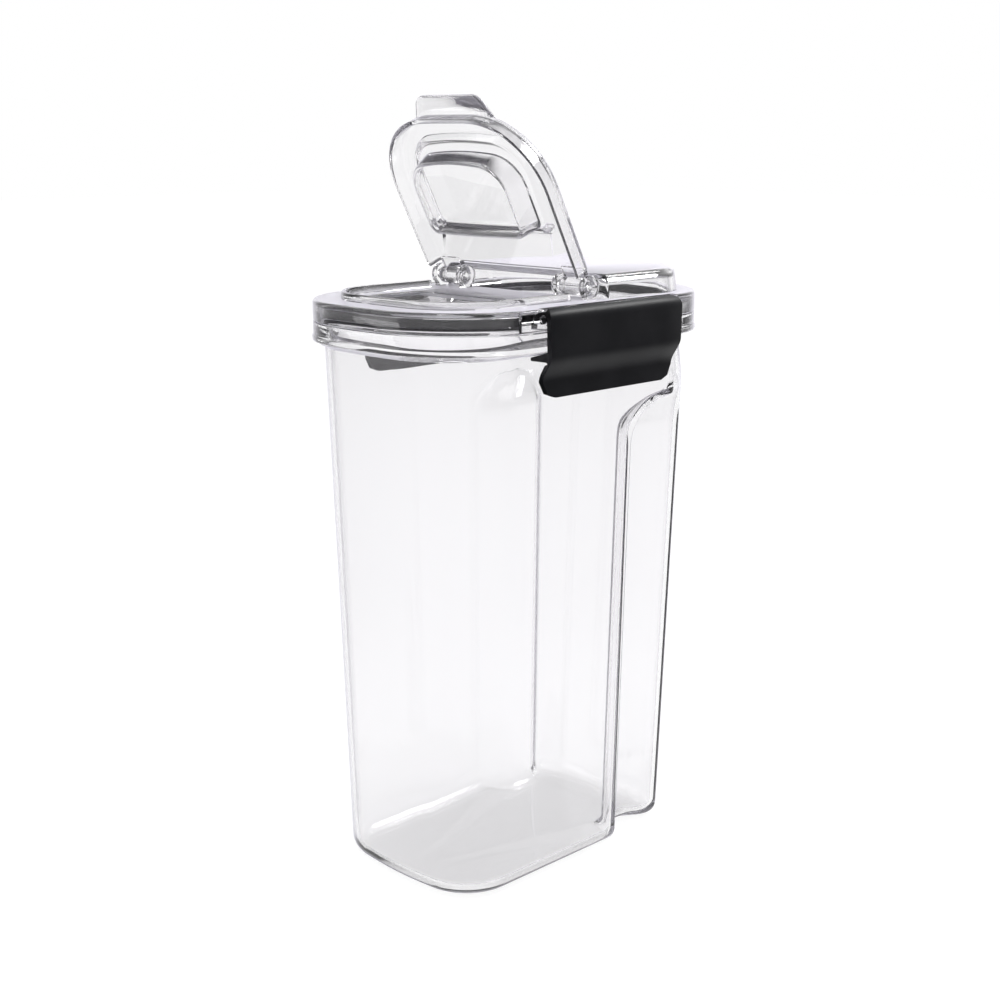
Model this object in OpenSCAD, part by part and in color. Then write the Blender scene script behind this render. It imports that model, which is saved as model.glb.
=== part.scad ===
// Cereal container with a flip spout: a tapered clear body with finger scoops,
// a gasketed snap-on lid, a hinged spout cap and two side latches.
// Origin at the middle of the base. The spout faces -Y and the latches are on the two X sides.
// The spout cap is drawn open, at cap_open degrees.

/* [Lid and collar] */
// Height of the lid's flat ledge above the table
ledge_h = 240; // [190:1:300]
// How far the collar and the lid stand out from the body on its two sides
collar_side = 8.5; // [8:0.1:10]
// How far the collar and the lid stand out from the body at its two ends
collar_end = 4.5; // [4:0.1:8]
// Front corner radius of the lid
lid_front_r = 42; // [38:1:46]
// Rear corner radius of the lid
lid_rear_r = 38; // [34:1:42]
// How far the front end bows out between its corners
front_bow = 4.5; // [3:0.5:7]
// How far the rear end bows out between its corners
rear_bow = 2; // [1:0.5:5]
// Wall and top thickness of the lid
lid_t = 2; // [1.6:0.1:2.4]
// Height of the lid's skirt, from the ledge down
skirt_h = 8.4; // [7.5:0.1:10]

/* [Body] */
// Outer width of the body just under its collar
body_w = 92; // [86:0.5:104]
// Outer length of the body just under its collar
body_l = 152; // [144:1:172]
// Corner radius of the body just under its collar
body_r = 31; // [26:1:34]
// Outer width of the body at its base
base_w = 85; // [78:1:90]
// Outer length of the body at its base
base_l = 133; // [125:1:145]
// Corner radius of the body at its base
base_r = 24; // [20:1:28]
// Radius of the two rear corners under the collar, where they are tighter than at the rim
rear_top_r = 24; // [20:1:31]
// Radius of the two rear corners at the base
rear_base_r = 21; // [18:1:26]
// Rounding between the base and the sides
base_round = 7; // [4:0.5:9]
// Wall thickness of the body
wall = 2; // [1.6:0.1:2.6]
// Floor thickness of the body
floor_t = 2.6; // [2:0.1:4]
// Height of the collar's outer face
collar_h = 7.7; // [6:0.1:9]
// Height of the lip along the collar's lower edge
lip_h = 2.1; // [1.5:0.1:3]
// How far the lip stands out from the collar
lip_out = 0.4; // [0.2:0.1:0.5]
// How far the collar's underside slopes down towards the wall
collar_slope = 2.4; // [1:0.1:3]
// Height of the body's rim above its collar
rim_h = 2.1; // [1.5:0.1:2.5]

/* [Finger scoops] */
// Distance of the scoop's front ridge behind the middle, at the collar
scoop_y = 28; // [18:0.5:32]
// Depth of the scoop
scoop_depth = 11.5; // [5:0.5:13]
// Height of the scoop's top edge
scoop_top = 197; // [150:1:200]
// Height of the rounded top of the scoop
scoop_round = 19; // [10:1:30]
// Width of the step at the ridge
scoop_step = 8; // [4:0.5:9]

/* [Gasket] */
// Width of the gasket's section
gasket_w = 3.4; // [2.8:0.1:3.8]
// Height of the gasket's section
gasket_h = 4; // [3:0.1:4]
// Play between the gasket and what holds it
gasket_play = 0.15; // [0.05:0.05:0.3]
// Thickness of the two walls that hold the gasket
channel_t = 1.3; // [1:0.1:1.5]
// Depth of the inner wall that reaches into the body's mouth
plug_wall_h = 11; // [8:0.5:16]

/* [Raised parts of the lid] */
// Distance from the lid's edge to the foot of the rear plateau
raised_inset = 7.4; // [7:0.1:12]
// Height of the bead that the cap closes round
bead_h = 3.1; // [2:0.1:3.5]
// Width of the bead
bead_w = 2.4; // [1.8:0.1:4]
// Height of the rear plateau above the ledge
plateau_h = 9.8; // [8:0.1:12]
// Distance of the plateau's front wall behind the middle
plateau_y = 8.8; // [8.5:0.1:16]
// Slope of the plateau's walls, as the inset of its top
plateau_draft = 3.4; // [0.5:0.1:4]

/* [Spout] */
// Width of the pour opening
pour_w = 61; // [40:1:64]
// Distance of the opening's rear edge in front of the middle
pour_rear = 21.7; // [18:0.1:30]
// Distance of the opening's front edge in front of the middle
pour_front = 57.2; // [50:0.1:60]
// Front corner radius of the opening
pour_r = 14; // [8:1:16]
// Height of the sleeve under the opening
sleeve_h = 5; // [3:0.5:8]

/* [Spout cap] */
// Opening angle at which the cap is drawn
cap_open = 62; // [0:1:98]
// Distance from the lid's edge to the cap's rim on the two sides
cap_inset = 10.3; // [9.5:0.1:12]
// Distance from the lid's edge to the cap's rim at the front
cap_front = 8.5; // [8:0.1:12]
// Front corner radius of the cap
cap_r = 31.5; // [26:0.5:34]
// How far the cap's front edge bows out
cap_bow = 1.2; // [0.5:0.1:3]
// Height of the closed cap's rim above the ledge
cap_gap = 0.4; // [0.3:0.1:1]
// Height of the cap, from its rim to its top
cap_h = 8.2; // [7:0.1:9]
// Wall and top thickness of the cap
cap_t = 1.7; // [1.2:0.1:2.2]
// Clearance between the cap's skirt and the bead
cap_clear = 0.5; // [0.3:0.1:1]
// Width of the finger tab at its root
tab_w = 44; // [36:1:50]
// How far the tab reaches beyond the cap
tab_l = 7; // [5:0.5:9]
// Thickness of the tab
tab_t = 2; // [1.5:0.1:3]
// Height of the cap's top above the tab
tab_drop = 0.4; // [0.2:0.1:1]
// Angle by which the tab's sides lean in towards its tip
tab_slant = 26; // [10:1:35]
// Corner radius of the tab's tip
tab_r = 6; // [4:0.5:7]
// Depth of the sunk panel over the plug
panel_drop = 2.7; // [1.5:0.1:3]
// How far the panel stands out round the plug at its sides
panel_side = 3; // [2.2:0.1:4]
// How far the panel stands out in front of the plug
panel_front = 5.4; // [3:0.1:6]
// How far the panel stands out behind the plug
panel_rear = 2.5; // [2:0.1:4]
// Clearance between the cap's plug and the pour opening
plug_clear = 0.5; // [0.3:0.05:1]
// Depth of the plug under the cap's panel
plug_h = 7.9; // [7:0.1:9]
// How much the plug narrows towards its tip, on each side
plug_taper = 3.2; // [1:0.1:4]
// How far the plug's front leans back towards its tip
plug_lead = 0.6; // [0.2:0.1:1.5]
// Wall thickness of the plug
plug_t = 1.5; // [1:0.1:2]

/* [Cap hinge] */
// Distance of the hinge axis behind the middle
cap_axis_y = 3.2; // [2.5:0.1:5]
// Height of the hinge axis above the ledge
cap_axis_h = 4.9; // [4:0.1:5.5]
// Diameter of the cap's hinge pins
cap_pin_d = 4; // [2.5:0.1:4.5]
// Running clearance round a hinge pin, on the radius
pin_clear = 0.05; // [0.02:0.01:0.08]
// Radius of the lid's hinge ears
ear_r = 4.7; // [4.2:0.1:5]
// Thickness of a hinge ear
ear_t = 3; // [2:0.1:4]
// Distance from the middle to the inner face of an inner ear
ear_x = 26.5; // [20:0.5:28]
// Width of the cap's hinge arm
arm_w = 11.4; // [6:0.2:13]
// Side play of the arm between its ears
arm_play = 0.3; // [0.2:0.05:0.6]
// Radius of the arm's round end
arm_r = 3.6; // [3:0.1:3.7]
// How far a pin reaches into its ear
pin_reach = 1.8; // [1.2:0.1:2.4]

/* [Latches] */
// Length of a latch
latch_l = 77.5; // [60:0.5:80]
// Distance of the latch's middle behind the container's middle
latch_y = 5.3; // [0:0.1:8]
// Thickness of the latch's plate
latch_t = 2.3; // [1.8:0.1:2.4]
// Radius of the roll at the latch's top
roll_r = 4.5; // [4.2:0.1:4.8]
// Gap between the latch's plate and the collar's lip
latch_gap = 0.3; // [0.2:0.05:0.6]
// Height of the latch, from its top to its lower edge
latch_h = 34.6; // [32:0.1:40]
// How far the lower lip steps in towards the body
latch_step = 4.8; // [3:0.1:5]
// Rounding of the latch's lower corners
latch_corner = 6.5; // [4:0.5:10]
// Gap between the hook and the body, above the hook and at its tip
hook_gap = 0.3; // [0.2:0.05:0.5]
// Thickness of the hook at its tip
hook_t = 1.4; // [1.2:0.1:2]
// Thickness of the hook at its root
hook_root = 3.6; // [3:0.1:4.6]
// Diameter of the latch's hinge pins
latch_pin_d = 2.4; // [2:0.1:2.4]
// Length of a latch's hinge pin
latch_pin_l = 6; // [4:0.5:9]
// Thickness of the web that carries a pin
web_t = 2; // [1.5:0.1:3]
// Clearance round the moving roll
roll_clear = 0.5; // [0.4:0.05:0.6]
// Length of the groove that carries the roll's line on in front of the latch
groove_l = 12; // [8:0.5:14]

/* [Hidden] */

clear_plastic = [0.90, 0.91, 0.94, 0.45];
black_plastic = [0.13, 0.13, 0.14];
black_rubber = [0.05, 0.05, 0.055];

joint_gap = 0.3;
lid_w = body_w + 2 * collar_side;
lid_l = body_l + 2 * collar_end;
lid_front = -lid_l / 2;
lid_rear = lid_l / 2;
collar_top = ledge_h - skirt_h - joint_gap;
rim_top = collar_top + rim_h;
collar_low = collar_top - collar_h;
neck_z = collar_low - collar_slope;
gutter_t = 1.8;
shoulder_h = 19;
gutter_z = neck_z + collar_slope + 1.6;
pour_mid = (pour_front + pour_rear) / 2;
cap_axis_z = ledge_h + cap_axis_h;
cap_top = ledge_h + cap_gap + cap_h;
panel_low = cap_top - cap_t - panel_drop;
cap_draft = 0.6;
bead_in = cap_t + cap_clear + cap_draft / 2;
cap_rear = cap_axis_y - ear_r - 1.2;
bead_gap = 1.6;
arm_x = ear_x + ear_t + arm_play;
outer_ear_x = arm_x + arm_w + arm_play;
latch_in_x = lid_w / 2 + lip_out + latch_gap;
latch_out_x = latch_in_x + latch_t;
latch_axis_x = latch_out_x - roll_r;
latch_axis_z = ledge_h - roll_r;
latch_y0 = latch_y - latch_l / 2;
latch_y1 = latch_y + latch_l / 2;
lug_r = roll_r - latch_t - 0.15;
groove_r = roll_r - 1;

// Half of a rounded plan, from its front middle round to its rear middle.
// ys lists the places along the side where it also has points.
function half_plan(a, yf, yb, rf, rb, sf, sb, ys) =
  let (
    big_f = (a * a + sf * sf) / (2 * sf),
    big_b = (a * a + sb * sb) / (2 * sb),
    cf = yf + big_f,
    cb = yb - big_b,
    yi = cf - sqrt(pow(big_f - rf, 2) - pow(a - rf, 2)),
    yj = cb + sqrt(pow(big_b - rb, 2) - pow(a - rb, 2)),
    tf = atan2(yi - cf, a - rf),
    tb = atan2(yj - cb, a - rb)
  )
  concat(
    [for (i = [0 : 3]) let (t = -90 + (tf + 90) * i / 4) [big_f * cos(t), cf + big_f * sin(t)]],
    [for (i = [0 : 9]) let (t = tf * (1 - i / 9)) [a - rf + rf * cos(t), yi + rf * sin(t)]],
    [for (i = [0 : 1 : len(ys) - 1]) [a, min(max(ys[i], yi + 0.1 * (i + 1)), yj - 0.1 * (len(ys) - i))]],
    [for (i = [0 : 9]) let (t = tb * i / 9) [a - rb + rb * cos(t), yj + rb * sin(t)]],
    [for (i = [1 : 3]) let (t = tb + (90 - tb) * i / 4) [big_b * cos(t), cb + big_b * sin(t)]],
    [[0, yb]]
  );

// The whole plan: the half and its mirror image
function whole(half) =
  concat(half, [for (i = [len(half) - 2 : -1 : 1]) [-half[i][0], half[i][1]]]);

// The lid's plan, drawn in by d
function lid_plan(d) =
  whole(half_plan(lid_w / 2 - d, lid_front + d, lid_rear - d,
                  lid_front_r - d, lid_rear_r - d, front_bow, rear_bow, []));

// The cap's plan, drawn in by d
function cap_plan(d) =
  whole(half_plan(lid_w / 2 - cap_inset - d, lid_front + cap_front + d, lid_rear - raised_inset,
                  cap_r - d, lid_rear_r - raised_inset, cap_bow, rear_bow, []));

// The body's plan at the collar, drawn in by d
function mouth_plan(d) =
  whole(half_plan(body_w / 2 - d, -body_l / 2 + d, body_l / 2 - d,
                  body_r - d, body_r - d, front_bow, rear_bow, []));

module slab(points, z0, z1) {
  translate([0, 0, z0])
    linear_extrude(z1 - z0)
      polygon(points);
}

module ring(outer, inner, z0, z1) {
  difference() {
    slab(outer, z0, z1);
    slab(inner, z0 - 1, z1 + 1);
  }
}

// A closed skin through loops that all have the same number of points
module skin(loops) {
  n = len(loops[0]);
  m = len(loops);
  faces = concat(
    [for (j = [0 : m - 2]) for (i = [0 : n - 1])
      [j * n + i, (j + 1) * n + i, (j + 1) * n + (i + 1) % n]],
    [for (j = [0 : m - 2]) for (i = [0 : n - 1])
      [j * n + i, (j + 1) * n + (i + 1) % n, j * n + (i + 1) % n]],
    [[for (i = [0 : n - 1]) i]],
    [[for (i = [n - 1 : -1 : 0]) (m - 1) * n + i]]
  );
  polyhedron(points = [for (loop = loops) for (p = loop) p], faces = faces, convexity = 10);
}

function smooth(t) = let (u = min(max(t, 0), 1)) u * u * (3 - 2 * u);

// Share of the way from the base to the collar
function rise(z) = min(max(z / neck_z, 0), 1);
function at_z(base, top, z) = base + (top - base) * rise(z);

// Where the scoop's ridge lies along the body at height z; s is the depth inside the wall
function ridge_y(z, s) =
  let (
    k = at_z(base_l / body_l, 1, z),
    up = min(max((z - s - (scoop_top - scoop_round)) / scoop_round, 0), 1)
  )
  k * scoop_y - s + 1.3 * scoop_round * (1 - sqrt(1 - up * up));

// Places along the body's side that hold points, close together at the ridge r
function side_points(r, k) =
  concat([r - 14, r - 4],
         [for (i = [0 : 6]) r + scoop_step * i / 6],
         [for (i = [1 : 3]) r + scoop_step + max(44 * k - r - scoop_step, 1) * i / 3]);

// How far the scoop draws the wall in at a point
function scoop_in(y, z, s) =
  let (
    k = at_z(base_l / body_l, 1, z),
    r = ridge_y(z, s),
    fade = 1 - smooth((z - s - scoop_top + 14) / 20)
  )
  scoop_depth * fade * smooth((y - r) / scoop_step) * (1 - smooth((y - 50 * k) / (18 * k)));

// Radius of the rear corners at height z; they open out to the rim's radius over the shoulder
function rear_r(z) =
  at_z(rear_base_r, rear_top_r, z)
  + (body_r - rear_top_r) * min(max((z - neck_z + shoulder_h) / shoulder_h, 0), 1);

// One loop of the body's skin at height z, s inside the outer face
function body_loop(z, s, draw_in) =
  let (
    k = at_z(base_l / body_l, 1, z),
    r = ridge_y(z, s),
    a = at_z(base_w, body_w, z) / 2 - s - draw_in,
    h = at_z(base_l, body_l, z) / 2 - s - draw_in,
    c = at_z(base_r, body_r, z) - s - draw_in,
    half = half_plan(a, -h, h, c, rear_r(z) - s - draw_in, front_bow, rear_bow, side_points(r, k)),
    bent = [for (p = half)
      [p[0] > a * 0.45 ? p[0] - scoop_in(p[1], z, s) * smooth((p[0] / a - 0.45) / 0.3) : p[0], p[1]]]
  )
  [for (p = whole(bent)) [p[0], p[1], z]];

// One loop of the collar, with side points beside those of the body's loops
function collar_loop(d, z) =
  [for (p = whole(half_plan(lid_w / 2 - d, lid_front + d, lid_rear - d, lid_front_r - d,
                            lid_rear_r - d, front_bow, rear_bow, side_points(scoop_y, 1))))
    [p[0], p[1], z]];

// The clear body: outer wall, collar with its gutter, rim, inner wall and floor in one skin
module container_body() {
  levels = concat([for (i = [1 : 4]) base_round + (scoop_top - scoop_round - base_round) * i / 4],
                  [for (i = [1 : 5]) scoop_top - scoop_round * (1 - i / 5)],
                  [scoop_top + 5]);
  inner_round = base_round - 1;
  color(clear_plastic)
    skin(concat(
      [for (i = [0 : 3]) let (t = 30 * i)
        body_loop(base_round * (1 - cos(t)), 0, base_round * (1 - sin(t)))],
      [for (z = levels) body_loop(z, 0, 0)],
      [body_loop(neck_z, 0, 0)],
      [collar_loop(-lip_out, collar_low)],
      [collar_loop(-lip_out, collar_low + lip_h)],
      [collar_loop(0, collar_low + lip_h + 0.2)],
      [collar_loop(0, collar_top)],
      [collar_loop(gutter_t, collar_top)],
      [collar_loop(gutter_t, gutter_z)],
      [body_loop(gutter_z, 0, 0)],
      [body_loop(rim_top, 0, 0)],
      [body_loop(rim_top, wall, 0)],
      [body_loop(neck_z, wall, 0)],
      [for (i = [len(levels) - 1 : -1 : 0]) body_loop(levels[i] + (i > 3 ? wall : 0), wall, 0)],
      [for (i = [3 : -1 : 0]) let (t = 30 * i)
        body_loop(floor_t + inner_round * (1 - cos(t)), wall, inner_round * (1 - sin(t)))]
    ));
}

// Half-plane cutters, as wide blocks in front of or behind a line
module behind(y) {
  translate([-lid_w, y, 0])
    cube([lid_w * 2, lid_l, ledge_h * 2]);
}

module ahead(y) {
  translate([-lid_w, y - lid_l, 0])
    cube([lid_w * 2, lid_l, ledge_h * 2]);
}

// Plan of the pour opening, drawn in by d
function pour_plan(d) =
  whole(half_plan(pour_w / 2 - d, -pour_front + d, -pour_rear - d, pour_r - d, 4, 3, 0.3, []));

// The plateau's solid, drawn in by d and lowered by dz
module plateau_block(d, dz) {
  intersection() {
    hull() {
      slab(lid_plan(raised_inset + d), ledge_h - lid_t, ledge_h - lid_t + 0.1);
      slab(lid_plan(raised_inset + plateau_draft * 0.4 + d), ledge_h + plateau_h - 3 - dz,
           ledge_h + plateau_h - 2.9 - dz);
      slab(lid_plan(raised_inset + plateau_draft + d), ledge_h + plateau_h - 0.1 - dz,
           ledge_h + plateau_h - dz);
    }
    behind(plateau_y + d);
  }
}

// One ear of the cap's hinge, without its bore
module cap_ear(x) {
  translate([x, cap_axis_y, cap_axis_z])
    rotate([0, 90, 0])
      cylinder(h = ear_t, r = ear_r, $fn = 48);
  translate([x, cap_axis_y - ear_r * 0.55, ledge_h - lid_t / 2])
    cube([ear_t, ear_r * 1.1, cap_axis_h + lid_t / 2]);
}

module cap_bore() {
  translate([ear_x - 1, cap_axis_y, cap_axis_z])
    rotate([0, 90, 0])
      cylinder(h = outer_ear_x + ear_t + 2 - ear_x, r = cap_pin_d / 2 + pin_clear, $fn = 48);
}

// Room for the moving roll of the +X latch
module latch_pocket() {
  translate([latch_axis_x, latch_y0 - roll_clear, latch_axis_z])
    rotate([-90, 0, 0])
      cylinder(h = latch_l + 2 * roll_clear, r = roll_r + roll_clear, $fn = 64);
  translate([latch_axis_x, latch_y0 - roll_clear, collar_top - 1])
    cube([20, latch_l + 2 * roll_clear, skirt_h + joint_gap + 3]);
  translate([latch_axis_x - roll_r - roll_clear, latch_y0 - roll_clear, collar_top - 1])
    cube([20, latch_l + 2 * roll_clear, latch_axis_z - collar_top + 1]);
  translate([latch_axis_x, latch_y0 - groove_l, latch_axis_z])
    rotate([-90, 0, 0])
      cylinder(h = groove_l + 1, r = groove_r, $fn = 64);
  translate([latch_axis_x, latch_y0 - groove_l, collar_top - 1])
    cube([20, groove_l + 1, latch_axis_z + groove_r - collar_top + 1]);
  translate([latch_axis_x - groove_r, latch_y0 - groove_l, collar_top - 1])
    cube([20, groove_l + 1, latch_axis_z - collar_top + 1]);
}

// One lug of the +X latch's hinge, from y0 to y1
module latch_lug(y0, y1) {
  translate([latch_axis_x, y0, latch_axis_z])
    rotate([-90, 0, 0])
      cylinder(h = y1 - y0, r = lug_r, $fn = 48);
  translate([latch_axis_x - roll_r - roll_clear - 0.6, y0, collar_top + joint_gap])
    cube([roll_r + roll_clear + 1.4, y1 - y0, latch_axis_z - collar_top - joint_gap - 1.6]);
  translate([body_w / 2 + gasket_play * 2, y0, collar_top + joint_gap])
    cube([latch_axis_x - roll_r - roll_clear - body_w / 2 - gasket_play * 2, y1 - y0,
          ledge_h - collar_top - joint_gap - lid_t / 2]);
}

module latch_bore() {
  translate([latch_axis_x, latch_y0 - 1, latch_axis_z])
    rotate([-90, 0, 0])
      cylinder(h = latch_l + 2, r = latch_pin_d / 2 + pin_clear, $fn = 48);
}

module both_sides() {
  children();
  mirror([1, 0, 0])
    children();
}

// The clear lid: skirt, ledge, gasket channel, bead, plateau, spout sleeve and hinge ears
module lid() {
  color(clear_plastic)
    difference() {
      union() {
        difference() {
          union() {
            slab(lid_plan(0), ledge_h - lid_t, ledge_h);
            ring(lid_plan(0), lid_plan(lid_t), ledge_h - skirt_h, ledge_h - lid_t / 2);
          }
          both_sides()
            latch_pocket();
        }
        ring(mouth_plan(-gasket_play - channel_t), mouth_plan(-gasket_play), rim_top + 0.8,
             ledge_h - lid_t / 2);
        ring(mouth_plan(gasket_w + gasket_play), mouth_plan(gasket_w + gasket_play + channel_t),
             ledge_h - plug_wall_h, ledge_h - lid_t / 2);
        difference() {
          ring(cap_plan(bead_in), cap_plan(bead_in + bead_w), ledge_h - lid_t / 2,
               ledge_h + bead_h);
          behind(cap_rear - cap_t - bead_gap);
        }
        plateau_block(0, 0);
        slab(pour_plan(-lid_t), ledge_h - lid_t - sleeve_h, ledge_h - lid_t / 2);
        both_sides() {
          cap_ear(ear_x);
          cap_ear(outer_ear_x);
          latch_lug(latch_y0 + 0.6, latch_y0 + 0.6 + latch_pin_l);
          latch_lug(latch_y1 - 0.6 - latch_pin_l, latch_y1 - 0.6);
        }
      }
      plateau_block(lid_t, lid_t);
      translate([0, 0, -lid_t])
        intersection() {
          slab(lid_plan(raised_inset + lid_t), ledge_h - 0.5, ledge_h + lid_t + 0.5);
          behind(plateau_y + lid_t);
        }
      slab(pour_plan(0), ledge_h - 40, ledge_h + 40);
      both_sides() {
        cap_bore();
        latch_bore();
      }
    }
}

// The black gasket, pressed up in the lid's channel
module lid_gasket() {
  color(black_rubber)
    ring(mouth_plan(0), mouth_plan(gasket_w), rim_top + joint_gap,
         rim_top + joint_gap + gasket_h);
}

// Plan of the sunk panel, drawn in by d
function panel_plan(d) =
  whole(half_plan(pour_w / 2 - plug_clear + panel_side - d, -pour_front + plug_clear - panel_front + d,
                  -pour_rear - plug_clear + panel_rear - d, pour_r + panel_side - d, 4, 3, 0.3, []));

// Plan of the plug, drawn in by d, at the share k of the way to its tip
function plug_plan(d, k) =
  whole(half_plan(pour_w / 2 - plug_clear - d - plug_taper * k, -pour_front + plug_clear + d + plug_lead * k,
                  -pour_rear - plug_clear - d, pour_r - d - k, 4, 3, 0.3, []));

// The plug's solid, drawn in by d, from its tip at z0 up to z1
module plug_block(d, z0, z1) {
  hull() {
    slab(plug_plan(d, 1), z0, z0 + 0.1);
    slab(plug_plan(d, 0), z1 - 0.1, z1);
  }
}

// Plan of the finger tab: straight sides that lean in, and round corners at the tip
function tab_plan() =
  let (
    root = lid_front + cap_front + 3,
    cy = lid_front + cap_front - tab_l + tab_r,
    cx = tab_w / 2 - (root - cy + tab_r * sin(tab_slant)) * tan(tab_slant) - tab_r * cos(tab_slant),
    side = concat([for (i = [0 : 8]) let (t = -90 + (90 - tab_slant) * i / 8)
                    [cx + tab_r * cos(t), cy + tab_r * sin(t)]],
                  [[tab_w / 2, root], [tab_w / 2, root + 6]])
  )
  concat(side, [for (i = [len(side) - 1 : -1 : 0]) [-side[i][0], side[i][1]]]);

// The closed cap's outer solid, drawn in by d, from z0 up to the underside of a top of thickness t,
// as far back as rear
module cap_block(d, z0, t, rear) {
  intersection() {
    hull() {
      slab(cap_plan(d), z0, z0 + 0.1);
      slab(cap_plan(d + cap_draft), cap_top - 2.7, cap_top - 2.6);
      slab(cap_plan(d + cap_draft + 0.8), cap_top - t - 0.9, cap_top - t - 0.8);
      slab(cap_plan(d + cap_draft + 2.4), cap_top - t - 0.1, cap_top - t);
    }
    ahead(rear);
  }
}

// One hinge arm of the closed cap with its two pins, on the +X side
module cap_arm() {
  translate([arm_x, cap_axis_y, cap_axis_z])
    rotate([0, 90, 0])
      cylinder(h = arm_w, r = arm_r, $fn = 48);
  translate([arm_x, cap_axis_y - ear_r - 3, cap_top - 2.4])
    cube([arm_w, ear_r + 3, 2.4 - (cap_top - cap_axis_z - arm_r > 0 ? cap_top - cap_axis_z - arm_r : 0)]);
  translate([arm_x - arm_play - pin_reach, cap_axis_y, cap_axis_z])
    rotate([0, 90, 0])
      cylinder(h = arm_w + 2 * (arm_play + pin_reach), r = cap_pin_d / 2, $fn = 48);
}

// The clear flip cap: skirted top with a sunk panel, finger tab, plug ring and hinge arms,
// turned open about its pins. Its skirt is open at the rear.
module spout_cap() {
  color(clear_plastic)
    translate([0, cap_axis_y, cap_axis_z])
      rotate([-cap_open, 0, 0])
        translate([0, -cap_axis_y, -cap_axis_z]) {
          difference() {
            union() {
              cap_block(0, ledge_h + cap_gap, 0, cap_rear);
              slab(tab_plan(), cap_top - tab_drop - tab_t, cap_top - tab_drop);
            }
            difference() {
              cap_block(cap_t, ledge_h - 1, cap_t, cap_rear + 1);
              slab(panel_plan(0), panel_low, cap_top);
            }
            slab(panel_plan(cap_t), panel_low + cap_t, cap_top + 1);
          }
          difference() {
            plug_block(0, panel_low - plug_h, panel_low + cap_t / 2);
            plug_block(plug_t, panel_low - plug_h - 0.1, panel_low);
          }
          both_sides()
            cap_arm();
        }
}

// Outer line of the latch's plate, from the roll down to the lower edge, d inside its outer face
function latch_line(d) =
  concat(
    [for (i = [0 : 8]) let (t = 90 - 90 * i / 8)
      [latch_axis_x + (roll_r - d) * cos(t), latch_axis_z + (roll_r - d) * sin(t)]],
    [for (i = [0 : 8]) let (t = i / 8)
      [latch_out_x - d - latch_step * smooth(t), collar_low - 1 - (collar_low - 7 - low_z) * t]],
    [[latch_out_x - d - latch_step + 0.6, low_z]]
  );
low_z = ledge_h - latch_h;

// Seen along Y, the latch's plate
module latch_section() {
  outer = latch_line(0);
  inner = latch_line(latch_t);
  polygon(concat(outer, [for (i = [len(inner) - 1 : -1 : 0]) inner[i]]));
}

// The hook under the plate's inner face, tapering to its tip beside the body
module hook_section() {
  tip_x = body_w / 2 + hook_gap;
  slope = collar_slope / (lid_w / 2 + lip_out - body_w / 2);
  tip_z = neck_z + slope * (tip_x - body_w / 2) - hook_gap;
  root_z = neck_z + slope * (latch_in_x - 0.5 - body_w / 2) - hook_gap;
  polygon([[tip_x, tip_z], [latch_in_x - 0.5, root_z], [latch_in_x + 0.6, root_z],
           [latch_in_x + 0.6, root_z - hook_root], [latch_in_x - 1, root_z - hook_root],
           [tip_x, tip_z - hook_t]]);
}

// Extrudes a section in X and Z along Y, from y0 to y1
module along_y(y0, y1) {
  translate([0, y1, 0])
    rotate([90, 0, 0])
      linear_extrude(y1 - y0)
        children();
}

// A lower corner of the latch, rounded: cutter seen along X, at the end y0, pointing to +Y
module latch_corner_cut() {
  translate([body_w / 2 - 10, 0, 0])
    rotate([90, 0, 90])
      linear_extrude(40)
        difference() {
          translate([-1, low_z - 1])
            square([latch_corner + 1, latch_corner + 1]);
          translate([latch_corner, low_z + latch_corner])
            circle(r = latch_corner, $fn = 64);
        }
}

// One web with its hinge pin, between the lug at y0 and the middle of the latch
module latch_web(y0) {
  along_y(y0, y0 + web_t)
    polygon(concat([[latch_axis_x, latch_axis_z]],
                   [for (i = [0 : 8]) let (t = 90 - 90 * i / 8)
                     [latch_axis_x + (roll_r - 0.6) * cos(t), latch_axis_z + (roll_r - 0.6) * sin(t)]],
                   [[latch_out_x - 0.6, latch_axis_z - 3], [latch_in_x, latch_axis_z - 3],
                    [latch_axis_x, latch_axis_z - latch_pin_d / 2]]));
  translate([latch_axis_x, y0, latch_axis_z])
    rotate([-90, 0, 0])
      cylinder(h = web_t, r = lug_r - 0.3, $fn = 48);
}

module latch() {
  difference() {
    union() {
      along_y(latch_y0, latch_y1)
        latch_section();
      along_y(latch_y0, latch_y1)
        hook_section();
    }
    translate([0, latch_y0, 0])
      latch_corner_cut();
    translate([0, latch_y1, 0])
      mirror([0, 1, 0])
        latch_corner_cut();
  }
  latch_web(latch_y0 + 0.6 + latch_pin_l + 0.3);
  latch_web(latch_y1 - 0.6 - latch_pin_l - 0.3 - web_t);
  translate([latch_axis_x, latch_y0 + 0.6, latch_axis_z])
    rotate([-90, 0, 0])
      cylinder(h = latch_pin_l + 0.4, r = latch_pin_d / 2, $fn = 48);
  translate([latch_axis_x, latch_y1 - 1 - latch_pin_l, latch_axis_z])
    rotate([-90, 0, 0])
      cylinder(h = latch_pin_l + 0.4, r = latch_pin_d / 2, $fn = 48);
}

module right_latch() {
  color(black_plastic)
    latch();
}

module left_latch() {
  color(black_plastic)
    mirror([1, 0, 0])
      latch();
}

container_body();
lid();
lid_gasket();
spout_cap();
right_latch();
left_latch();
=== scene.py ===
import bpy
import bmesh
import math
from mathutils import Matrix, Vector


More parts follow.
